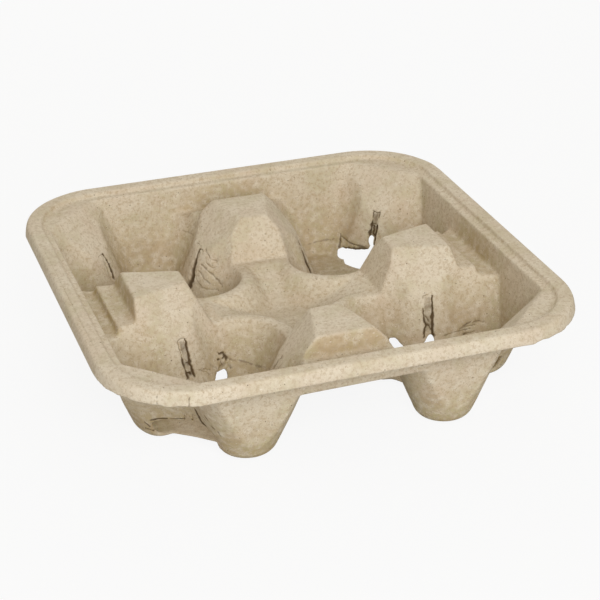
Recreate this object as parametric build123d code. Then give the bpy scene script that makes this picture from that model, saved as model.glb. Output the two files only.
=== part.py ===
from build123d import *
import math
import os

# Four-cup carrier moulded in one piece from paper pulp, in millimetres.
# The origin is at the middle of the tray, on the plane that its feet stand on, with +Z up.
# The wall is the space between two forms: the hollow that holds the cups, and the same
# hollow grown by the wall, so every step, slope and floor keeps its thickness.

# Overall size; the side is measured across the foot of the rim's skirt
tray_side = 216.0
tray_height = 50.0
wall = 2.0
rim_corner_radius = 40.5

# Rim
rim_width = 8.5
skirt_drop = 6.4
skirt_flare = 1.3
rim_edge_radius = 1.6

# Shelf just below the rim, level with the tops of the posts
shelf_drop = 2.5
shelf_width = 3.5
side_draft = 8.0

# Cup pockets: three round feet each, at foot_offset from the pocket's axis
pocket_spacing = 104.0
foot_radius = 10.5
foot_offset = 26.2
pocket_draft = 21.5
floor_radius = 3.0
toe_steps = 2

# Webs between the feet: a low lip under each window and a wall further out above it,
# both hollowed about an upright line at the distance named centre
lip_distance = 13.3
lip_centre = 39.7
lip_top = 11.0
web_distance = 16.6
web_centre = 52.0
waist_height = 33.5

# Flat facets above the webs; distances are from the pocket's axis
facet_low_height = 23.0
facet_low_distance = 21.8
facet_low_half = 10.0
facet_top_distance = 43.4
facet_top_half = 24.4

# Slits and windows at the foot of the pocket walls; a wide slit is open near its window,
# and above that it is a groove, where the pulp has torn but still closes it
window_width = 34.0
window_bottom = 2.4
window_top = 11.5
window_corner = 3.0
slit_top = 29.8
wide_slit_open_top = 17.0
groove_depth = 1.1
cut_reach = 36.0
wide_slit = 3.2
narrow_slit = 1.0

# Posts, the ledges outside them, and the hub between them
post_inner = 50.0
post_outer = 76.0
post_draft = 24.8
rib_height = 38.5
rib_outer = 84.0
rib_reach = 24.0
ledge_height = 35.0
ledge_reach = 33.0
ledge_draft = 12.0
hub_height = 28.0
ridge_width = 4.5
ridge_draft = 45.0
dish_reach = 36.5
dish_floor_height = 17.0
dish_draft = 67.5

shelf_height = tray_height - shelf_drop
pocket_centre = pocket_spacing / 2
rim_inner = tray_side / 2 - rim_width
side_inner = rim_inner - shelf_width
past = 1.5


def spread(angle):
    """Sideways step of a slope that leans by angle, for each millimetre of height."""
    return math.tan(math.radians(angle))


def thicken(angle, grow):
    """Sideways shift of a leaning wall whose surface moves out by grow."""
    return grow / math.cos(math.radians(angle))


def lean(low, high):
    """Angle from upright of a slope between two (distance, height) points."""
    return math.degrees(math.atan2(high[0] - low[0], high[1] - low[1]))


def turned(x, y, angle):
    """Point (x, y) turned about the pocket's axis."""
    c, s = math.cos(math.radians(angle)), math.sin(math.radians(angle))
    return (x * c - y * s, x * s + y * c)


def rounded_square(half, radius, z):
    return Pos(0, 0, z) * RectangleRounded(2 * half, 2 * half, radius)


def tapered_square(half, radius, z_top, z_bottom, angle):
    """Square well that narrows downwards from z_top to z_bottom."""
    step = spread(angle) * (z_top - z_bottom)
    top = rounded_square(half, radius, z_top)
    bottom = rounded_square(half - step, radius - step, z_bottom)
    return loft([bottom, top], ruled=True)


def square_well(half, z_top, z_bottom, angle):
    """Square well with plain corners; half is its half width at z_top."""
    rise = spread(angle) * past
    step = spread(angle) * (z_top - z_bottom)
    top = Pos(0, 0, z_top + past) * Rectangle(2 * (half + rise), 2 * (half + rise))
    bottom = Pos(0, 0, z_bottom) * Rectangle(2 * (half - step), 2 * (half - step))
    return loft([bottom, top], ruled=True)


def leg_shift(z, grow):
    """How far the wall of a foot stands out at height z, from its place at the floor."""
    return spread(pocket_draft) * (z - wall) + thicken(pocket_draft, grow)


def toe_rings(grow):
    """Shift and height of the rounded edge under a foot, in short steps from the floor up."""
    centre_z = wall + floor_radius
    centre = leg_shift(centre_z, -floor_radius)
    rings = []
    for k in range(toe_steps + 1):
        angle = math.radians((90 - pocket_draft) * k / toe_steps)
        radius = floor_radius + grow
        rings.append((centre + radius * math.sin(angle), centre_z - radius * math.cos(angle)))
    return rings


def spun(points):
    """Solid turned about its own upright axis from (radius, height) points."""
    outline = [(0, 0, points[0][1])] + [(r, 0, z) for r, z in points] + [(0, 0, points[-1][1])]
    return revolve(Face(Wire.make_polygon(outline)), axis=Axis.Z)


def facet_outline(distance, half, z):
    """Six-sided outline with a flat side over every web."""
    corners = []
    for angle in (0, 120, 240):
        corners += [turned(distance, -half, angle), turned(distance, half, angle)]
    return Pos(0, 0, z) * Polygon(*corners, align=None)


def facets(grow):
    """Upper space of a pocket, between its three flat sides."""
    angle = lean((facet_low_distance, facet_low_height), (facet_top_distance, shelf_height))
    shift = thicken(angle, grow)
    bottom = facet_outline(facet_low_distance + shift, facet_low_half, facet_low_height)
    top = facet_outline(facet_top_distance + shift + spread(angle) * past, facet_top_half,
                        shelf_height + past)
    return loft([bottom, top], ruled=True)


def web_space(distance, centre, rings, z_low, z_high):
    """Space between the feet, its sides hollowed by three columns of the given rings."""
    column = spun([(centre - distance - shift, z) for shift, z in rings])
    corners = []
    for angle in (0, 120, 240):
        corners += [turned(centre, 0, angle), turned(foot_offset, 0, angle + 60)]
    body = Pos(0, 0, z_low) * extrude(Polygon(*corners, align=None), z_high - z_low)
    for angle in (0, 120, 240):
        x, y = turned(centre, 0, angle)
        body = body - Pos(x, y, 0) * column
    return body


def webs(grow):
    """Space inside the lips at the floor and inside the webs above them."""
    toe = toe_rings(grow)
    floor_z = wall - grow
    step_z = lip_top - grow
    low_rings = [(toe[0][0], floor_z - past), toe[0], toe[-1]]
    low_rings.append((leg_shift(step_z + past, grow), step_z + past))
    high_rings = [(leg_shift(z, grow), z) for z in (step_z - past, waist_height + past)]
    return (web_space(lip_distance, lip_centre, low_rings, floor_z, step_z)
            + web_space(web_distance, web_centre, high_rings, step_z, waist_height))


def pocket(grow):
    """Space of one cup pocket: the webs, the flat facets and the three round feet."""
    top_z = shelf_height + past
    sides = [(foot_radius + shift, z) for shift, z in toe_rings(grow)]
    sides.append((foot_radius + leg_shift(top_z, grow), top_z))
    foot = spun(sides)
    body = facets(grow) + webs(grow)
    for angle in (60, 180, 300):
        x, y = turned(foot_offset, 0, angle)
        body = body + Pos(x, y, 0) * foot
    return Pos(pocket_centre, pocket_centre, 0) * Rot(0, 0, 45) * body


def basin(grow):
    """Space inside the four side walls, down past the floor."""
    shift = thicken(side_draft, grow)
    half = side_inner + shift + spread(side_draft) * past
    radius = rim_corner_radius - rim_width - shelf_width + shift
    return tapered_square(half, radius, shelf_height + past, wall - grow - past, side_draft)


def ledge(grow):
    """Stepped recess between one post and the side wall, open to the pockets at both ends."""
    shift = thicken(ledge_draft, grow)
    well = None
    for inner, reach, floor_z in ((post_outer, rib_reach, rib_height),
                                  (rib_outer, ledge_reach, ledge_height)):
        depth = shelf_height + past - floor_z + grow
        step = spread(ledge_draft) * depth
        face_top = inner - shift - spread(ledge_draft) * past
        middle = (face_top + tray_side / 2) / 2
        width = tray_side / 2 - face_top
        top = Pos(middle, 0, shelf_height + past) * Rectangle(width, 2 * reach)
        bottom = Pos(middle + step / 2, 0, floor_z - grow) * Rectangle(width - step, 2 * reach)
        piece = loft([bottom, top], ruled=True)
        well = piece if well is None else well + piece
    return well


def hub(grow):
    """Well between the posts, with a four-pointed dish that leaves a ridge round each pocket."""
    well = square_well(post_inner + thicken(post_draft, grow), shelf_height, hub_height - grow,
                       post_draft)
    dish = square_well(dish_reach + thicken(dish_draft, grow), hub_height,
                       dish_floor_height - grow, dish_draft)
    depth = hub_height - dish_floor_height + 2 * past + grow
    crest = foot_radius + leg_shift(hub_height, 0) + ridge_width - thicken(ridge_draft, grow)
    crest = crest - spread(ridge_draft) * past
    ridge = Cone(crest + spread(ridge_draft) * depth, crest, depth)
    place = pocket_centre - foot_offset / math.sqrt(2)
    for k in range(4):
        dish = dish - Rot(0, 0, 90 * k) * Pos(place, place, hub_height + past - depth / 2) * ridge
    return well + dish


def hollow(grow):
    """All that is open above the wall, below the shelf; grow moves its surface outwards."""
    one = pocket(grow)
    recess = ledge(grow)
    whole = hub(grow)
    for k in range(4):
        whole = whole + Rot(0, 0, 90 * k) * one
    for k in range(4):
        whole = whole + Rot(0, 0, 90 * k) * recess
    return whole & basin(grow)


def skirt(half_foot, radius_foot, z_top):
    """Rounded block that widens down to the foot of the skirt."""
    foot_z = tray_height - skirt_drop
    inset = skirt_flare * (z_top - foot_z) / skirt_drop
    top = rounded_square(half_foot - inset, radius_foot - inset, z_top)
    return loft([rounded_square(half_foot, radius_foot, foot_z), top], ruled=True)


def rim():
    """Shelf, flat rim and flared skirt, as one ring that closes over the posts."""
    block = skirt(tray_side / 2, rim_corner_radius, tray_height)
    block = fillet(block.faces().sort_by(Axis.Z)[-1].edges(), rim_edge_radius)
    inside = thicken(lean((0, 0), (skirt_flare, skirt_drop)), wall)
    under = skirt(tray_side / 2 - inside, rim_corner_radius - inside, tray_height - wall)
    corner = rim_corner_radius - rim_width
    recess = extrude(rounded_square(rim_inner, corner, shelf_height), shelf_drop + past)
    slab = extrude(rounded_square(rim_inner + wall, corner + wall, shelf_height - wall),
                   shelf_drop + wall)
    return (block - under) + (slab & block) - recess


def cutter(width, z_low, z_high, angle, corner=0):
    """Upright blade through the pocket wall, at angle from the pocket's outward diagonal."""
    height = z_high - z_low
    outline = RectangleRounded(width, height, corner) if corner else Rectangle(width, height)
    blade = extrude(Plane.YZ * outline, cut_reach)
    middle = Pos(0, 0, (z_low + z_high) / 2)
    return Pos(pocket_centre, pocket_centre, 0) * Rot(0, 0, 45 + angle) * middle * blade


def openings():
    """Three windows and three slits in every pocket; the wide slits are those that tore."""
    torn = ((0,), (), (0, 240), (120,))
    groove_space = pocket(groove_depth)
    cuts = []
    for k in range(4):
        for angle in (0, 120, 240):
            tool = [cutter(window_width, window_bottom, window_top, angle, window_corner)]
            if angle in torn[k]:
                tool.append(cutter(wide_slit, window_top - past, wide_slit_open_top, angle))
                blade = cutter(wide_slit, wide_slit_open_top - past, slit_top, angle)
                tool.append(blade & groove_space)
            else:
                tool.append(cutter(narrow_slit, window_top - past, slit_top, angle))
            cuts += [Rot(0, 0, 90 * k) * each for each in tool]
    return cuts


below_rim = extrude(rounded_square(tray_side / 2, rim_corner_radius, -past),
                    shelf_height + past)
tray = rim() + (hollow(wall) & below_rim) - hollow(0)
for cut in openings():
    tray = tray - cut
os.makedirs("parts", exist_ok=True)
export_step(tray, "parts/carrier.step")
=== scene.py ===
import math

import bmesh
import bpy
import numpy as np
from mathutils import Matrix, Vector, noise


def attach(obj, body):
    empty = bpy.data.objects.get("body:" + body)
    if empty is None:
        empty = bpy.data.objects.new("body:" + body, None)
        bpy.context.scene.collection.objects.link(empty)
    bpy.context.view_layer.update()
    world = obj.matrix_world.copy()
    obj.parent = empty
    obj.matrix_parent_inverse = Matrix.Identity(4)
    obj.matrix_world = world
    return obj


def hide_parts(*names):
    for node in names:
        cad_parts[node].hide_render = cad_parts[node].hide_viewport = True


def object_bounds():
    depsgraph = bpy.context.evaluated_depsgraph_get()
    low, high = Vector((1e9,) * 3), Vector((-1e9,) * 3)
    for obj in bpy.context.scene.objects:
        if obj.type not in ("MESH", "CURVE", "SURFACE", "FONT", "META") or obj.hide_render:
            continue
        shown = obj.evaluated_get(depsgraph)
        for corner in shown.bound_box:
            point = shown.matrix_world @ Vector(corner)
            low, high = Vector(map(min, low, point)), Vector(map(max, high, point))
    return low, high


# Looks of a moulded paper-pulp cup carrier, in metres.
# The CAD solid gives the form. Here its edges are softened as a felted pulp wall is, its slits
# and windows get torn edges, and its surface gets the specks and fibres of recycled paper. Shade
# is painted into its hollows, under some edges and flaps, and along creases.

MM = 0.001

# Softening of the CAD mesh
weld_within = 0.01 * MM
voxel = 0.6 * MM
soften_steps = 24
piece_triangles = 120000

# Unevenness of the moulded wall: (size of the waves, height). Below foot_fade it moves the wall
# up and down less and less, down to the floor.
sway = (34 * MM, 0.45 * MM)
ripple = (9 * MM, 0.14 * MM)
foot_fade = 6 * MM

# Ragged lower edge of the rim's skirt
skirt_from = 99 * MM
skirt_above = 41 * MM
skirt_below = 46.5 * MM
skirt_fade = 2 * MM
skirt_wave = (7 * MM, 1.0 * MM)

# Pocket walls: the web between two feet is hollowed about an upright line and leans outward
pocket_place = 52 * MM
web_centre = 52 * MM
web_radius = 35.4 * MM
web_lean = math.tan(math.radians(21.5))
web_low = 2 * MM

# Walls are named by their pocket and their angle from its outward diagonal
back_right, back_left, front_left, front_right = range(4)

# Pulp still hanging in the windows and slits. Corners run round from the top left, seen from inside
# the pocket, as (sideways, height); lean is how far top and bottom stand out of the wall's inner
# face, and the last number is the thickness. All in mm.
panels = (
    (back_left, 240, ((18, 14), (-18, 14), (-18, 1.2), (18, 1.2)), (0.2, -1.9), 1.7),
    (back_left, 240, ((1.8, 19), (-1.8, 19), (-1.8, 13), (1.8, 13)), (0.9, 0.9), 1.0),
    (front_left, 240, ((18, 14), (-21, 13), (-9, 1.2), (18, 1.2)), (0.3, -1.9), 1.7),
    (front_left, 240, ((1.8, 19), (-1.8, 19), (-1.8, 13), (1.8, 13)), (0.9, 0.9), 1.0),
    (front_right, 120, ((-2.6, 14), (-18, 14), (-18, 1.2), (-3.0, 1.2)), (0.2, -1.9), 1.7),
    (front_right, 120, ((17, 12.6), (-1.3, 13.8), (4.2, 4), (9, 4)), (0.3, 0.2), 1.5),
    (front_right, 120, ((19, 14), (9, 14), (9, 9.8), (19, 9.2)), (0.2, 0.0), 1.6),
    (front_right, 120, ((1.8, 19), (-1.8, 19), (-1.8, 13.6), (1.8, 12)), (0.9, 0.9), 1.0),
    (back_right, 0, ((17, 12.6), (0.4, 12.6), (0.6, 9.4), (15.5, 6.0)), (1.4, 2.3), 1.1),
    (back_right, 120, ((18, 13.5), (-2, 13.5), (-2, 1.2), (18, 1.2)), (0.3, -1.9), 2.2),
    (back_right, 120, ((-1, 6.5), (-14, 5.0), (-14, 1.2), (-1, 1.2)), (-0.9, -1.9), 1.7),
    (back_right, 0, ((-0.2, 18.5), (-2.0, 18.5), (-2.0, 12.8), (-0.7, 12.8)), (0.9, 0.9), 1.0),
    (front_left, 120, ((1.2, 33), (-1.2, 33), (-1.2, 12), (1.2, 12)), (1.2, 1.2), 0.8),
)

# Holes torn beyond the windows: (pocket, angle, corners as for the panels)
torn_holes = (
    (front_left, 240, ((-12, 7.0), (-22.5, 7.7), (-22.5, 2.6), (-12, 2.6))),
    (back_right, 0, ((19.2, 5.2), (15.5, 6.2), (14, 2.0), (18.4, 2.0))),
    (front_left, 0, ((9.5, 14.0), (-15, 11.6), (-15, 3), (9.5, 3))),
    (front_left, 0, ((4.8, 19.8), (3.2, 19.8), (2.2, 13.5), (6.2, 13.5))),
)

# Slits that are off the middle of their wall: (pocket, angle, shift in mm). The part of the wall
# that goes along is given by the height of its middle, half its height, the fade at its top and
# bottom, and how far to the sides it reaches.
off_middle = (
    (front_left, 240, -0.8),
    (front_right, 120, -0.7),
    (back_right, 0, -1.4),
    (back_left, 240, -0.7),
)
slit_middle = 21 * MM
slit_half = 12.6 * MM
slit_fade = 5 * MM
slit_side = 4.5 * MM

# Ragged edges of the hanging pulp, and how far out the torn holes reach
rag_size = 3.5 * MM
rag_height = 0.7 * MM
hole_reach = (14 * MM, 44 * MM)

# Cracks, wrinkles, torn edges and lines of painted shade on the pocket walls: (pocket, angle,
# lines), each line with its depth and the points along it as (sideways, height, half width), in mm
cracks = (
    # Torn strip, crushed window and the small hole beside it, with painted shade in the recess
    # above the hole
    (front_left, 240, (
        (1.1, ((-2.6, 28.5, 0.2), (-2.5, 23.2, 0.35), (-2.4, 17.2, 0.45), (-3.0, 12.7, 0.6))),
        (0.6, ((1.6, 27.6, 0.2), (1.1, 23.5, 0.2))),
        (0.9, ((1.1, 22.5, 0.3), (0.8, 18.1, 0.6), (0.4, 12.5, 0.5))),
        (0.5, ((1.6, 27.6, 0.2), (0.8, 28.9, 0.25), (-1.2, 29.3, 0.15), (-2.6, 28.5, 0.2))),
        (0.8, ((-0.7, 18.7, 0.25), (-1.5, 18.5, 0.25))),
        (1.0, ((-0.2, 14.6, 0.35), (-1.3, 13.9, 0.5))),
        (0.5, ((1.0, 24.6, 0.15), (-0.4, 24.2, 0.25), (-2.2, 24.9, 0.15))),
        (0.8, ((-18.9, 12.9, 0.35), (-20.7, 12.1, 0.45), (-22.9, 12.6, 0.35))),
        (0.8, ((-20.4, 14.6, 0.3), (-22.6, 14.3, 0.4), (-23.8, 12.2, 0.6), (-23.3, 10.6, 0.5))),
        (0.7, ((-20.4, 11.4, 0.3), (-20.9, 9.9, 0.4))),
        # Painted shade in the recess above the hole
        (0.45, ((-18.6, 9.6, 0.5), (-20.6, 9.9, 0.7), (-23.6, 9.6, 0.8), (-24.8, 7.6, 0.5))),
        (0.4, ((-5.8, 14.2, 0.25), (-9.5, 12.0, 0.3), (-11.5, 10.0, 0.25))),
        (0.4, ((-8.9, 13.4, 0.2), (-12.6, 11.6, 0.3))),
        (0.35, ((-13.6, 13.0, 0.4), (-16.6, 10.4, 0.6), (-15.0, 8.0, 0.4))),
    )),
    # Torn strip, and wrinkles beside the foot
    (front_right, 120, (
        (1.2, ((-2.9, 29.0, 0.2), (-2.8, 24.0, 0.35), (-2.6, 18.5, 0.55), (-2.5, 12.0, 0.5))),
        (0.9, ((1.4, 23.8, 0.25), (1.3, 19.0, 0.35), (0.2, 16.4, 0.45), (1.2, 14.6, 0.3),
               (1.7, 11.0, 0.3))),
        (0.7, ((1.0, 21.2, 0.2), (0.1, 19.6, 0.25), (-0.9, 18.0, 0.2))),
        (0.8, ((0.2, 16.6, 0.25), (-1.3, 15.6, 0.3), (-1.9, 14.4, 0.25))),
        (0.5, ((1.5, 28.0, 0.2), (0.9, 29.2, 0.25), (-1.0, 29.6, 0.15))),
        (0.5, ((-8.0, 11.4, 0.2), (-14.2, 11.9, 0.25), (-18.3, 11.4, 0.3), (-21.3, 11.0, 0.25))),
        (0.55, ((-16.0, 12.4, 0.25), (-19.3, 13.2, 0.35), (-21.6, 14.1, 0.25))),
        (0.45, ((-22.4, 13.7, 0.2), (-25.1, 14.5, 0.3), (-27.8, 14.3, 0.2))),
        (0.6, ((-18.0, 9.6, 0.3), (-21.3, 9.4, 0.4), (-23.4, 9.9, 0.3))),
        (0.45, ((-17.6, 12.6, 0.2), (-20.8, 12.4, 0.3), (-23.6, 12.9, 0.2))),
    )),
    # Torn strip above the open window, and painted shade round the window
    (back_right, 0, (
        (1.1, ((0.0, 29.2, 0.3), (-0.1, 25.5, 0.3), (0.2, 23.1, 0.5), (-0.3, 20.8, 0.35),
               (0.4, 18.6, 0.5), (0.2, 17.0, 0.3))),
        (0.7, ((-3.4, 29.5, 0.3), (-3.1, 26.4, 0.2))),
        (1.1, ((-3.0, 23.2, 0.4), (-3.1, 20.5, 0.5), (-3.0, 17.7, 0.5), (-2.9, 12.5, 0.3))),
        (0.8, ((0.3, 29.7, 0.35), (-1.2, 28.9, 0.3), (-3.6, 29.4, 0.3))),
        (0.7, ((0.0, 23.4, 0.2), (-2.9, 23.1, 0.3))),
        (0.9, ((-0.9, 22.4, 0.35), (-1.8, 20.4, 0.4), (-1.1, 18.8, 0.3), (-2.2, 17.3, 0.4))),
        # Painted shade: the shadow under the flap folded out over the window, the shaded pulp edge
        # between flap and hole, and the shaded wall at the window's side
        (0.5, ((17.6, 12.4, 0.4), (12.0, 11.4, 0.5), (6.0, 11.0, 0.4), (1.4, 11.4, 0.4))),
        (0.7, ((15.5, 6.9, 0.5), (10.0, 8.2, 0.7), (4.0, 9.4, 0.7), (0.6, 10.2, 0.5))),
        (0.6, ((18.4, 13.4, 0.25), (18.0, 10.0, 0.5), (18.2, 6.6, 0.6))),
    )),
    # Slit and the wrinkled web beside it
    (back_left, 240, (
        (1.2, ((0.2, 29.6, 0.4), (0.6, 26.0, 0.6), (0.4, 21.5, 0.9), (-0.3, 16.0, 1.5),
               (-0.2, 12.5, 1.7))),
        (0.5, ((0.2, 29.8, 0.3), (-1.6, 30.0, 0.35), (-3.0, 29.6, 0.2))),
        (0.5, ((-4.4, 23.7, 0.3), (-11.0, 21.1, 0.35), (-14.7, 18.8, 0.35), (-18.6, 16.5, 0.25))),
        (0.45, ((-3.8, 30.7, 0.3), (-9.6, 27.5, 0.35), (-12.0, 27.0, 0.25))),
        (0.45, ((-4.0, 20.6, 0.25), (-8.2, 18.0, 0.3), (-12.4, 16.2, 0.25))),
        (0.4, ((-2.8, 17.8, 0.25), (-5.0, 15.6, 0.3), (-8.4, 14.4, 0.25))),
        (0.4, ((-7.2, 25.4, 0.2), (-10.6, 23.8, 0.3), (-12.8, 24.3, 0.2))),
        (0.4, ((25.9, 28.3, 0.2), (14.6, 30.1, 0.25))),
        (0.4, ((5.1, 31.0, 0.2), (0.5, 31.1, 0.25))),
        (0.35, ((-5.3, 14.6, 0.3), (-7.8, 13.9, 0.35), (-10.5, 13.7, 0.3), (-13.3, 13.7, 0.25),
                (-16.4, 14.4, 0.2))),
    )),
    (back_left, 0, (
        (0.9, ((-0.9, 29.3, 0.4), (-2.4, 23.5, 0.6), (-2.3, 16.0, 0.7))),
        (0.5, ((2.7, 29.2, 0.25), (-0.9, 29.4, 0.2))),
        (0.5, ((0.1, 25.5, 0.15), (0.3, 16.4, 0.2))),
    )),
    (front_left, 120, (
        (1.0, ((-0.8, 31.2, 0.45), (0.1, 24.0, 0.9), (0.2, 16.0, 1.0))),
    )),
    (back_right, 120, (
        (1.0, ((2.2, 28.6, 1.0), (3.2, 25.0, 1.3), (4.4, 21.0, 1.6), (5.4, 16.0, 1.8),
               (5.6, 12.0, 1.6))),
    )),
    # Torn window edge seen from outside the front-left corner; the dark lines under its top edge
    # are partly torn pulp and partly painted shade
    (front_left, 0, (
        # Partly painted shade: dark lines along the window's top edge
        (0.8, ((-15.5, 13.0, 0.35), (-12.6, 13.6, 0.55), (-9.0, 13.4, 0.4))),
        (0.7, ((-8.0, 13.6, 0.25), (-4.0, 14.2, 0.35))),
        (1.0, ((-3.2, 14.4, 0.4), (0.2, 14.9, 0.6), (2.0, 15.3, 0.4))),
        (1.1, ((6.6, 24.4, 0.35), (7.3, 18.9, 0.5), (8.4, 15.6, 0.8), (10.0, 15.2, 0.4))),
        (0.8, ((-18.5, 11.2, 0.25), (-17.6, 9.4, 0.35), (-16.9, 8.2, 0.2))),
        (0.8, ((-19.5, 6.8, 0.25), (-17.6, 6.3, 0.35), (-16.6, 5.2, 0.25))),
        (0.8, ((13.6, 25.0, 0.2), (14.8, 22.8, 0.3))),
        (0.8, ((15.8, 20.0, 0.25), (17.0, 18.6, 0.3))),
        (0.7, ((18.7, 17.4, 0.2), (19.2, 15.0, 0.3))),
    )),
)

# Strips where torn pulp lies open in the slit grooves; their darkness is partly the pulp's own and
# partly painted shade of the recessed groove: (pocket, angle, sideways, half width, height from and
# to, darkness)
strips = (
    (front_left, 240, -0.8, 1.7, 12.5, 28.6, 0.44),
    (front_right, 120, -0.7, 1.9, 13.5, 29.0, 0.42),
    (back_right, 0, -1.6, 1.5, 16.5, 29.0, 0.46),
    (back_left, 240, -0.6, 1.7, 13.0, 29.5, 0.38),
)

# Cracks in the rim and its skirt, and painted shade under the creases at the level of the window
# tops: (darkness, points along each as (x, y, z, half width)), in mm
free_cracks_and_shade = (
    (0.60, ((-88.6, -99.8, 49.2, 0.2), (-89.4, -100.9, 47.3, 0.3), (-89.9, -101.6, 43.2, 0.35))),
    (0.60, ((-77.0, -105.0, 48.6, 0.2), (-77.6, -105.9, 47.3, 0.3), (-78.0, -106.5, 43.2, 0.35))),
    # Painted shade: dark lines under the creases at the level of the window tops
    (0.50, ((-35.2, -19.5, 11.2, 0.3), (-30.2, -20.2, 10.1, 0.5), (-26.2, -22.4, 9.1, 0.5),
            (-22.6, -26.1, 8.8, 0.5), (-19.8, -32.3, 10.4, 0.3))),
    (0.46, ((41.6, 89.5, 7.8, 0.3), (46.3, 90.2, 8.2, 0.5), (51.4, 89.0, 9.0, 0.5),
            (55.9, 86.0, 10.4, 0.3))),
)

# Distances from the pocket's axis between which the wall's cracks lie
crack_reach = (8 * MM, 42 * MM)

# Wandering of the cracks (size of the waves, height), and the change of their width along them
# (size of the waves, strength)
crack_wobble = (1.6 * MM, 0.40 * MM)
crack_change = (2.4 * MM, 0.9)

# A crack is fully deep up to the first share of its half width, and ends at the second
crack_full = 0.5
crack_end = 1.8

# Darkness of cracks, painted shade lines and strips: a base, and a part that goes with the change
# of width
crack_and_shade_tone = (0.35, 0.8)
strip_tone = (0.5, 0.5)
strip_darkest = 1.2
strip_edge = 0.6 * MM

# How far round a crack the points are looked at
crack_near = 7 * MM

# Splitting of the mesh along the cracks, round by round: (how near a crack, longest edge)
fine_rounds = (
    (5.0 * MM, 2.6 * MM),
    (2.0 * MM, 1.3 * MM),
    (1.0 * MM, 0.8 * MM),
    (0.8 * MM, 0.55 * MM),
)

# Feet pushed out of true: (x, y, reach, full below this height, none above this one, shift), in mm
pushed_feet = (
    (-88, -45, 13, 6, 32, (3.6, 0.0, 0.0)),
    (-45, -77, 17, 6, 32, (0.0, 1.5, 0.6)),
    (-62, -62, 13, 2.6, 7, (-2.0, -2.0, 0.0)),
)

# Camera, measured from the middle of the rim's top
camera_turn = math.radians(-19.2454)
camera_height = math.radians(27.328)
camera_roll = math.radians(-0.5982)
camera_distance = 763.68 * MM
camera_right = 5.99 * MM
camera_up = -21.43 * MM
camera_lens = 99.554
camera_sensor = 36.0

# Studio
floor_half = 3.0
floor_white = 0.60
floor_share = 0.90
sky_strength = 0.45
sky_tint = (1.0, 0.94, 0.80)
lamp_tint = (0.96, 0.98, 1.0)
lamp_size = 1.0
lamps = (
    ("key", (-0.20, -1.20, 0.75), 16.0),
    ("back", (0.30, 1.20, 0.50), 6.5),
)

# Colours of the pulp, as linear values
kraft = (0.66, 0.575, 0.455)
# Painted shade: the colour laid into hollows by the ambient occlusion
kraft_painted_shade = (0.44, 0.34, 0.18)
kraft_red = (0.54, 0.40, 0.29)
kraft_olive = (0.50, 0.44, 0.28)
kraft_deep = (0.41, 0.30, 0.18)
kraft_pale = (0.72, 0.65, 0.53)
# How far the ambient occlusion looks for the painted shade in hollows
painted_shade_reach = 40 * MM
speck_dark = (0.09, 0.055, 0.03)
speck_brown = (0.26, 0.16, 0.085)
speck_pale = (0.74, 0.68, 0.57)
# Brown of the cracks, also used for the lines of painted shade
crack_and_shade_brown = (0.080, 0.046, 0.018)

pulp_roughness = 0.95
pulp_shine = 0.2

# Painted shade: hollows, where the ambient occlusion finds little open sky, are painted browner and
# darker than open faces, and open faces are plainer: (from, to) of the open share
painted_shade_range = (0.30, 1.0)
plain_range = (0.8, 1.0)
plain_share = 0.25

# How the darkness of the cracks and painted shade lines turns into their colour: (from, to), and
# the most of it
crack_and_shade_range = (0.1, 0.9)
crack_and_shade_cover = 0.93

# Mottles: (size, detail, roughness, from, to, share, colour)
mottles = (
    (24 * MM, 3, 0.55, 0.42, 0.62, 0.34, kraft_red),
    (15 * MM, 3, 0.55, 0.44, 0.66, 0.60, kraft_olive),
    (3.0 * MM, 4, 0.75, 0.44, 0.62, 0.70, kraft_pale),
    (1.5 * MM, 4, 0.75, 0.46, 0.62, 0.70, kraft_deep),
)

# Specks and short fibres: (size, share that is seen, reach, colour, strength, stretch, turn).
# A speck is at its full strength within speck_core of its reach.
speck_core = 0.4
specks = (
    (1.5 * MM, 0.45, 0.22, speck_pale, 0.7, (1.4, 0.6, 1.4), 0.4),
    (2.6 * MM, 0.30, 0.15, speck_pale, 0.7, (0.5, 1.5, 1.2), 1.7),
    (1.4 * MM, 0.50, 0.20, speck_brown, 0.5, (1, 1.3, 1), 0.6),
    (2.0 * MM, 0.45, 0.12, speck_brown, 0.75, (1.6, 1.6, 0.45), 2.1),
    (3.2 * MM, 0.40, 0.09, speck_dark, 0.8, (0.4, 1.6, 1.6), 1.1),
    (3.6 * MM, 0.40, 0.10, speck_dark, 0.9, (1, 1, 1), 0),
)

# Relief of the felt: fine and coarse grain as (size, detail, roughness, and for the coarse one
# its distortion), and how much the coarse one weighs
felt_fine = (0.9 * MM, 4, 0.7)
felt_coarse = (3.2 * MM, 3, 0.6, 0.3)
felt_weight = 1.4
felt_strength = 0.9
felt_depth = 0.32 * MM


def softened(node):
    """New object with the CAD node's mesh, its edges rounded as wet pulp rounds them."""
    mesh = node.data.copy()
    piece = bpy.data.objects.new("pulp_tray", mesh)
    bpy.context.scene.collection.objects.link(piece)
    mesh.materials.clear()
    weld = piece.modifiers.new("weld", "WELD")
    weld.merge_threshold = weld_within
    settle(piece)
    torn(piece)
    remesh = piece.modifiers.new("remesh", "REMESH")
    remesh.mode = "VOXEL"
    remesh.voxel_size = voxel
    smooth = piece.modifiers.new("smooth", "SMOOTH")
    smooth.factor = 0.5
    smooth.iterations = soften_steps
    settle(piece)
    decimate = piece.modifiers.new("decimate", "DECIMATE")
    triangles = sum(len(p.vertices) - 2 for p in piece.data.polygons)
    decimate.ratio = min(1.0, piece_triangles / triangles)
    settle(piece)
    print("triangles", triangles, "to", len(piece.data.polygons))
    return piece


def settle(piece):
    """Applies the piece's modifiers to its mesh."""
    graph = bpy.context.evaluated_depsgraph_get()
    graph.update()
    made = bpy.data.meshes.new_from_object(piece.evaluated_get(graph))
    piece.modifiers.clear()
    piece.data = made


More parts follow.
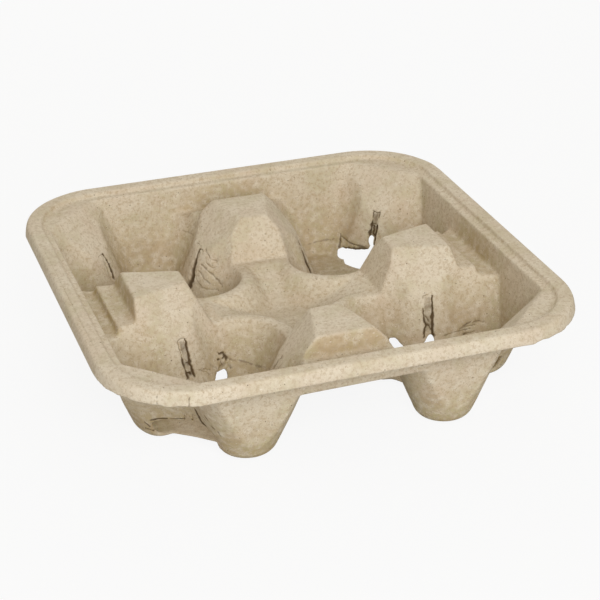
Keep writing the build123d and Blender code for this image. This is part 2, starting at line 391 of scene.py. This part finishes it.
def waves(points, size, height, seed):
    """Smooth random shift of each point, the same on both sides of a thin wall. The seed only
    tells the shifts of one run apart: the noise starts from the clock, so each run differs."""
    offset = Vector((seed * 7.3, seed * 3.1, seed * 5.7))
    shift = [noise.noise_vector(Vector(p) / size + offset) for p in points]
    return np.array(shift) * height


def move(piece):
    """Moves the slits and feet that are out of true."""
    points = vertex_points(piece.data)
    points += moved_points(points)
    piece.data.vertices.foreach_set("co", points.ravel())
    piece.data.update()


def uneven(piece):
    """Gives the wall the slow waves and small dents of dried pulp; the feet stay on the floor."""
    mesh = piece.data
    points = vertex_points(mesh)
    shift = waves(points, *sway, 1) + waves(points, *ripple, 2)
    shift[:, 2] *= np.clip(points[:, 2] / foot_fade, 0, 1)
    skirt = np.abs(points[:, :2]).max(axis=1) > skirt_from
    low = np.clip((skirt_below - points[:, 2]) / skirt_fade, 0, 1) * skirt
    low *= points[:, 2] > skirt_above
    shift[:, 2] += low * waves(points, *skirt_wave, 3)[:, 2]
    points += shift
    mesh.vertices.foreach_set("co", points.ravel())
    mesh.update()


class Wall:
    """One side of a pocket: sideways and outward from the pocket's axis, and up."""

    def __init__(self, pocket, angle):
        turn = math.radians(45 + 90 * pocket + angle)
        corner = math.radians(45 + 90 * pocket)
        self.axis = np.array((math.cos(corner), math.sin(corner))) * pocket_place * math.sqrt(2)
        self.out = np.array((math.cos(turn), math.sin(turn)))
        self.side = np.array((-math.sin(turn), math.cos(turn)))

    def local(self, points):
        """Sideways, outward and up distances of the points."""
        flat = points[:, :2] - self.axis
        return flat @ self.side, flat @ self.out, points[:, 2]

    def place(self, side, out, up):
        """The point at these distances."""
        return np.array((*(self.axis + self.side * side + self.out * out), up))

    def face(self, side, up):
        """How far out the web's inner face is."""
        radius = web_radius - web_lean * (up - web_low)
        return web_centre - math.sqrt(max(radius ** 2 - side ** 2, 0))


def grid_solid(front, back):
    """Closed mesh data between two grids of points of the same size."""
    rows, columns = len(front), len(front[0])
    points = [p for grid in (front, back) for row in grid for p in row]

    def at(layer, row, column):
        return (layer * rows + row) * columns + column

    faces = []
    for r in range(rows - 1):
        for c in range(columns - 1):
            faces.append((at(0, r, c), at(0, r, c + 1), at(0, r + 1, c + 1), at(0, r + 1, c)))
            faces.append((at(1, r, c), at(1, r + 1, c), at(1, r + 1, c + 1), at(1, r, c + 1)))
    for r in range(rows - 1):
        for c in (0, columns - 1):
            side = (at(0, r, c), at(0, r + 1, c), at(1, r + 1, c), at(1, r, c))
            faces.append(side if c == 0 else side[::-1])
    for c in range(columns - 1):
        for r in (0, rows - 1):
            side = (at(0, r, c), at(1, r, c), at(1, r, c + 1), at(0, r, c + 1))
            faces.append(side if r == 0 else side[::-1])
    return points, faces


def panel(pocket, angle, corners, lean, thickness, rows=10, columns=26):
    """Sheet of torn pulp on a pocket wall, as closed mesh data, with a ragged outline."""
    wall = Wall(pocket, angle)
    front, back = [], []
    for r in range(rows):
        v = r / (rows - 1)
        front.append([])
        back.append([])
        for c in range(columns):
            u = c / (columns - 1)
            top = np.array(corners[0]) * (1 - u) + np.array(corners[1]) * u
            bottom = np.array(corners[3]) * (1 - u) + np.array(corners[2]) * u
            side, up = (top * (1 - v) + bottom * v) * MM
            rag = noise.noise_vector(Vector((side, up, angle * MM)) / rag_size) * rag_height
            side, up = side + rag.x, up + rag.y
            out = wall.face(side, up) + (lean[0] * (1 - v) + lean[1] * v) * MM + rag.z
            front[-1].append(wall.place(side, out, up))
            back[-1].append(wall.place(side, out + thickness * MM, up))
    return grid_solid(front, back)


def block(pocket, angle, corners):
    """Closed mesh data of a block that passes through a pocket wall."""
    wall = Wall(pocket, angle)
    rows = (corners[:2], (corners[3], corners[2]))
    layers = [[[wall.place(s * MM, out, z * MM) for s, z in row] for row in rows]
              for out in hole_reach]
    return grid_solid(*layers)


def solid_object(name, data):
    """Object from closed mesh data, its faces turned outward."""
    points, faces = data
    mesh = bpy.data.meshes.new(name)
    mesh.from_pydata([tuple(p) for p in points], [], faces)
    work = bmesh.new()
    work.from_mesh(mesh)
    bmesh.ops.recalc_face_normals(work, faces=work.faces)
    work.to_mesh(mesh)
    work.free()
    made = bpy.data.objects.new(name, mesh)
    bpy.context.scene.collection.objects.link(made)
    return made


def torn(piece):
    """Cuts the torn holes and adds the hanging panels; the remesh joins them to the wall."""
    for hole in torn_holes:
        cutter = solid_object("hole", block(*hole))
        cut = piece.modifiers.new("cut", "BOOLEAN")
        cut.operation = "DIFFERENCE"
        cut.solver = "MANIFOLD"
        cut.object = cutter
        settle(piece)
        bpy.data.objects.remove(cutter)
    work = bmesh.new()
    work.from_mesh(piece.data)
    for numbers in panels:
        sheet = solid_object("panel", panel(*numbers))
        work.from_mesh(sheet.data)
        bpy.data.objects.remove(sheet)
    work.to_mesh(piece.data)
    work.free()


def within(out):
    """Whether each distance from a pocket's axis lies where the webs are."""
    return (out > crack_reach[0]) & (out < crack_reach[1])


def grooves(spots, line, change):
    """For each piece of a crack's line: how deep it cuts each spot, as a share of its depth, and
    how far outside it the spot lies. Each row of the line is a point and the half width there."""
    for a, b in zip(line, line[1:]):
        step = b[:-1] - a[:-1]
        share = np.clip(((spots - a[:-1]) @ step) / (step @ step), 0, 1)
        off = np.linalg.norm(spots - a[:-1] - share[:, None] * step, axis=1)
        width = (a[-1] + (b[-1] - a[-1]) * share) * change
        yield np.clip((crack_end - off / width) / (crack_end - crack_full), 0, 1), off - width


def crack_and_shade_map(points):
    """For each point: how deep the nearest crack is there, how dark, with the painted shade of some
    lines and of the strips, its way out of the wall, and how far off the nearest crack line lies."""
    deep = np.zeros(len(points))
    dark = np.zeros(len(points))
    outward = np.zeros((len(points), 3))
    gap = np.full(len(points), 1.0)
    size, strength = crack_change
    change = 1 + strength * waves(points, size, 1, 6)[:, 0]
    tones = np.clip(crack_and_shade_tone[0] + crack_and_shade_tone[1] * change, 0, 1)
    points = points + waves(points, *crack_wobble, 5)
    for pocket, angle, lines in cracks:
        wall = Wall(pocket, angle)
        side, out, up = wall.local(points)
        for depth, line in lines:
            line = np.array(line) * MM
            low = line[:, :2].min(axis=0) - crack_near
            high = line[:, :2].max(axis=0) + crack_near
            near = np.where((side > low[0]) & (side < high[0]) & (up > low[1]) & (up < high[1])
                            & within(out))[0]
            spots = np.column_stack((side[near], up[near]))
            for cut, beyond in grooves(spots, line, change[near]):
                better = cut * depth * MM > deep[near]
                deep[near[better]] = (cut * depth * MM)[better]
                outward[near[better], :2] = wall.out
                dark[near] = np.maximum(dark[near], cut * tones[near] * min(1.0, depth))
                gap[near] = np.minimum(gap[near], beyond)
    for darkness, line in free_cracks_and_shade:
        for cut, beyond in grooves(points, np.array(line) * MM, change):
            dark = np.maximum(dark, darkness * cut)
            gap = np.minimum(gap, beyond)
    return deep, np.maximum(dark, strip_map(points, change)), outward, gap


def strip_map(points, change):
    """How dark the strips of open torn pulp, partly painted groove shade, are at each point."""
    dark = np.zeros(len(points))
    tones = np.clip(strip_tone[0] + strip_tone[1] * change, 0, strip_darkest)
    for pocket, angle, at_side, half, low, high, darkness in strips:
        side, out, up = Wall(pocket, angle).local(points)
        inside = np.clip((half * MM - abs(side - at_side * MM)) / strip_edge, 0, 1)
        inside *= np.clip((up - low * MM) / strip_edge, 0, 1)
        inside *= np.clip((high * MM - up) / strip_edge, 0, 1)
        dark = np.maximum(dark, inside * within(out) * darkness * tones)
    return dark


def vertex_points(mesh):
    """The mesh's points, one in each row."""
    points = np.empty(len(mesh.vertices) * 3)
    mesh.vertices.foreach_get("co", points)
    return points.reshape(-1, 3)


def refined(piece):
    """Splits the mesh finely along the cracks."""
    for reach, longest in fine_rounds:
        points = vertex_points(piece.data)
        gap = crack_and_shade_map(points)[3]
        work = bmesh.new()
        work.from_mesh(piece.data)
        work.verts.ensure_lookup_table()
        near = gap < reach
        edges = [e for e in work.edges
                 if near[e.verts[0].index] and near[e.verts[1].index]
                 and e.calc_length() > longest]
        bmesh.ops.subdivide_edges(work, edges=edges, cuts=1)
        bmesh.ops.triangulate(work, faces=[f for f in work.faces if len(f.verts) > 3])
        work.to_mesh(piece.data)
        work.free()
    print("refined to", len(piece.data.polygons))


def cracked(piece):
    """Sinks the cracks into the inner faces of the walls and keeps their darkness, painted shade
    included, on the mesh.
    """
    mesh = piece.data
    points = vertex_points(mesh)
    deep, dark, outward, _ = crack_and_shade_map(points)
    normals = np.empty(len(mesh.vertices) * 3)
    mesh.vertex_normals.foreach_get("vector", normals)
    facing = np.clip(-(normals.reshape(-1, 3) * outward).sum(axis=1) * 2, 0, 1)
    points += outward * (deep * facing)[:, None]
    mesh.vertices.foreach_set("co", points.ravel())
    # The kept darkness is partly the cracks' own brown and partly painted shade under edges,
    # creases and flaps
    kept = mesh.attributes.new("crack", "FLOAT", "POINT")
    kept.data.foreach_set("value", dark)
    mesh.update()


def moved_points(points):
    """Shift of each point with the slits and the feet that are out of true."""
    shift = np.zeros_like(points)
    for pocket, angle, aside in off_middle:
        wall = Wall(pocket, angle)
        side, out, up = wall.local(points)
        near = np.exp(-(side / slit_side) ** 2)
        near *= np.clip((slit_half - abs(up - slit_middle)) / slit_fade, 0, 1)
        near *= within(out)
        shift[:, :2] += (near * aside * MM)[:, None] * wall.side
    for x, y, reach, full, none, way in pushed_feet:
        off = np.hypot(points[:, 0] - x * MM, points[:, 1] - y * MM) / (reach * MM)
        low = np.clip((none * MM - points[:, 2]) / ((none - full) * MM), 0, 1)
        near = low * low * (3 - 2 * low) * np.exp(-off ** 4)
        shift += near[:, None] * np.array(way) * MM
    return shift


def node_tree(name):
    """New material, with its nodes, links and Principled shader."""
    material = bpy.data.materials.new(name)
    material.use_nodes = True
    tree = material.node_tree
    return material, tree, tree.nodes["Principled BSDF"]


class Maker:
    """Short ways to add texture nodes that are measured in metres on the object."""

    def __init__(self, tree):
        self.tree = tree
        self.place = tree.nodes.new("ShaderNodeTexCoord").outputs["Object"]

    def node(self, kind, **values):
        made = self.tree.nodes.new(kind)
        for name, value in values.items():
            setattr(made, name, value)
        return made

    def link(self, a, b):
        self.tree.links.new(a, b)

    def stretched(self, factors, turn):
        """The place on the object, turned and stretched."""
        made = self.node("ShaderNodeMapping")
        made.inputs["Scale"].default_value = factors
        made.inputs["Rotation"].default_value = turn
        self.link(self.place, made.inputs["Vector"])
        return made.outputs["Vector"]

    def noise(self, size, detail, rough, warp=0.0):
        made = self.node("ShaderNodeTexNoise")
        made.inputs["Scale"].default_value = 1 / size
        made.inputs["Detail"].default_value = detail
        made.inputs["Roughness"].default_value = rough
        made.inputs["Distortion"].default_value = warp
        self.link(self.place, made.inputs["Vector"])
        return made.outputs["Fac"]

    def specks(self, size, place):
        """Distance to the nearest speck, and a random value of its own for each speck."""
        made = self.node("ShaderNodeTexVoronoi")
        made.inputs["Scale"].default_value = 1 / size
        self.link(place, made.inputs["Vector"])
        return made.outputs["Distance"], made.outputs["Color"]

    def ramp(self, value, low, high, start=0.0, end=1.0):
        """From start to end, smoothly, while the value goes from low to high."""
        made = self.node("ShaderNodeMapRange", interpolation_type="SMOOTHSTEP")
        made.inputs["From Min"].default_value = low
        made.inputs["From Max"].default_value = high
        made.inputs["To Min"].default_value = start
        made.inputs["To Max"].default_value = end
        self.link(value, made.inputs["Value"])
        return made.outputs["Result"]

    def maths(self, operation, a, b):
        made = self.node("ShaderNodeMath", operation=operation)
        for k, value in enumerate((a, b)):
            if isinstance(value, (int, float)):
                made.inputs[k].default_value = value
            else:
                self.link(value, made.inputs[k])
        return made.outputs["Value"]

    def mix(self, share, a, b):
        """Colour b laid over colour a by its share."""
        made = self.node("ShaderNodeMix", data_type="RGBA")
        self.link(share, made.inputs["Factor"])
        for name, value in (("A", a), ("B", b)):
            socket = [s for s in made.inputs if s.name == name and s.type == "RGBA"][0]
            if isinstance(value, tuple):
                socket.default_value = (*value, 1)
            else:
                self.link(value, socket)
        return [s for s in made.outputs if s.type == "RGBA"][0]

    def chosen(self, colour, share):
        """1 for the given share of the specks, by their random values."""
        split = self.node("ShaderNodeSeparateColor")
        self.link(colour, split.inputs["Color"])
        return self.maths("LESS_THAN", split.outputs["Red"], share)


def pulp():
    """Dry recycled pulp: mottled beige, with dark and pale specks and short fibres; shade is
    painted into its hollows and along some marks.
    """
    material, tree, shader = node_tree("pulp")
    make = Maker(tree)
    # Painted shade: the ambient occlusion darkens and browns the colour in hollows, and open faces
    # keep the mottles fainter
    painted_shade_ao = make.node("ShaderNodeAmbientOcclusion", samples=8)
    painted_shade_ao.inputs["Distance"].default_value = painted_shade_reach
    open_share = painted_shade_ao.outputs["AO"]
    plain_with_painted_shade = make.mix(make.ramp(open_share, *painted_shade_range), kraft_painted_shade, kraft)
    colour = plain_with_painted_shade
    for size, detail, rough, low, high, share, tone in mottles:
        mottle = make.ramp(make.noise(size, detail, rough), low, high, 0, share)
        colour = make.mix(mottle, colour, tone)
    colour = make.mix(make.ramp(open_share, *plain_range, 0, plain_share), colour, plain_with_painted_shade)
    for size, share, reach, tone, strength, stretch, turn in specks:
        place = make.stretched(stretch, (turn, turn / 2, turn))
        distance, own = make.specks(size, place)
        spot = make.ramp(distance, reach, reach * speck_core, 0, strength)
        colour = make.mix(make.maths("MULTIPLY", spot, make.chosen(own, share)), colour, tone)
    # Crack brown, partly painted shade under edges, creases and flaps, and in the strips
    crack = make.node("ShaderNodeAttribute", attribute_name="crack").outputs["Fac"]
    colour = make.mix(make.ramp(crack, *crack_and_shade_range, 0, crack_and_shade_cover), colour, crack_and_shade_brown)
    tree.links.new(colour, shader.inputs["Base Color"])
    shader.inputs["Roughness"].default_value = pulp_roughness
    shader.inputs["Specular IOR Level"].default_value = pulp_shine
    felt = make.maths("ADD", make.noise(*felt_fine),
                      make.maths("MULTIPLY", make.noise(*felt_coarse), felt_weight))
    bump = make.node("ShaderNodeBump")
    bump.inputs["Strength"].default_value = felt_strength
    bump.inputs["Distance"].default_value = felt_depth
    tree.links.new(felt, bump.inputs["Height"])
    tree.links.new(bump.outputs["Normal"], shader.inputs["Normal"])
    return material


def studio(rim_top):
    """Pale floor that looks white to the camera but keeps some of the shadow, and soft light."""
    bpy.ops.mesh.primitive_plane_add(size=2 * floor_half, location=(0, 0, 0))
    floor = bpy.context.object
    floor.name = "floor"
    material, tree, shader = node_tree("floor_white")
    shader.inputs["Base Color"].default_value = (floor_white, floor_white, floor_white, 1)
    shader.inputs["Roughness"].default_value = 0.9
    shader.inputs["Specular IOR Level"].default_value = 0.0
    seen_white(tree, shader.outputs["BSDF"], tree.nodes["Material Output"], floor_share)
    floor.data.materials.append(material)

    world = bpy.data.worlds.new("studio")
    world.use_nodes = True
    bpy.context.scene.world = world
    light = world.node_tree.nodes["Background"]
    light.inputs["Color"].default_value = (*sky_tint, 1)
    light.inputs["Strength"].default_value = sky_strength
    seen_white(world.node_tree, light.outputs["Background"],
               world.node_tree.nodes["World Output"], 1.0)

    for name, place, power in lamps:
        data = bpy.data.lights.new(name, "AREA")
        data.shape = "DISK"
        data.size = lamp_size
        data.energy = power
        data.color = lamp_tint
        lamp = bpy.data.objects.new(name, data)
        lamp.location = place
        aim = Vector((0, 0, rim_top / 2)) - lamp.location
        lamp.rotation_euler = aim.to_track_quat("-Z", "Y").to_euler()
        bpy.context.scene.collection.objects.link(lamp)


def seen_white(tree, shader, output, share):
    """Blends white into what the camera, and glossy or see-through surfaces, see there."""
    path = tree.nodes.new("ShaderNodeLightPath")
    largest = path.outputs["Is Camera Ray"]
    for name in ("Is Glossy Ray", "Is Transmission Ray"):
        joined = tree.nodes.new("ShaderNodeMath")
        joined.operation = "MAXIMUM"
        tree.links.new(largest, joined.inputs[0])
        tree.links.new(path.outputs[name], joined.inputs[1])
        largest = joined.outputs["Value"]
    part = tree.nodes.new("ShaderNodeMath")
    part.operation = "MULTIPLY"
    part.inputs[1].default_value = share
    tree.links.new(largest, part.inputs[0])
    white = tree.nodes.new("ShaderNodeEmission")
    white.inputs["Strength"].default_value = 1.0
    blend = tree.nodes.new("ShaderNodeMixShader")
    tree.links.new(part.outputs["Value"], blend.inputs["Fac"])
    tree.links.new(shader, blend.inputs[1])
    tree.links.new(white.outputs["Emission"], blend.inputs[2])
    tree.links.new(blend.outputs["Shader"], output.inputs["Surface"])


def photo_camera(rim_top):
    """Camera at the photograph's place: turned round the rim's middle, then rolled and moved."""
    back = Vector((math.sin(camera_turn) * math.cos(camera_height),
                   -math.cos(camera_turn) * math.cos(camera_height),
                   math.sin(camera_height)))
    level = Vector((math.cos(camera_turn), math.sin(camera_turn), 0))
    upright = back.cross(level)
    right = level * math.cos(camera_roll) + upright * math.sin(camera_roll)
    up = upright * math.cos(camera_roll) - level * math.sin(camera_roll)
    data = bpy.data.cameras.new("camera")
    data.sensor_width = camera_sensor
    data.lens = camera_lens
    camera = bpy.data.objects.new("camera", data)
    turn = Matrix((right, up, back)).transposed()
    place = Vector((0, 0, rim_top)) + back * camera_distance + right * camera_right + up * camera_up
    camera.matrix_world = Matrix.Translation(place) @ turn.to_4x4()
    bpy.context.scene.collection.objects.link(camera)
    bpy.context.scene.camera = camera


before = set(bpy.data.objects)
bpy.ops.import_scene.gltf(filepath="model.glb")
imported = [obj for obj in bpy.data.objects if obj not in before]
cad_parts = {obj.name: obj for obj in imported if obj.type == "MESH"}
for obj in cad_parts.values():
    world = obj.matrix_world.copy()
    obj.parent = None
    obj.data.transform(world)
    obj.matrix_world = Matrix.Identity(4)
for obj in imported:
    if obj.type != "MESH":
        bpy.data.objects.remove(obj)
cad_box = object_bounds()
rim_top = cad_box[1].z

tray = softened(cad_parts["carrier"])
move(tray)
refined(tray)
cracked(tray)
uneven(tray)
tray.data.materials.clear()
tray.data.materials.append(pulp())
tray.data.shade_smooth()
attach(tray, "root")
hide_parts("carrier")

studio(rim_top)
photo_camera(rim_top)
bpy.context.scene.view_settings.view_transform = "Standard"
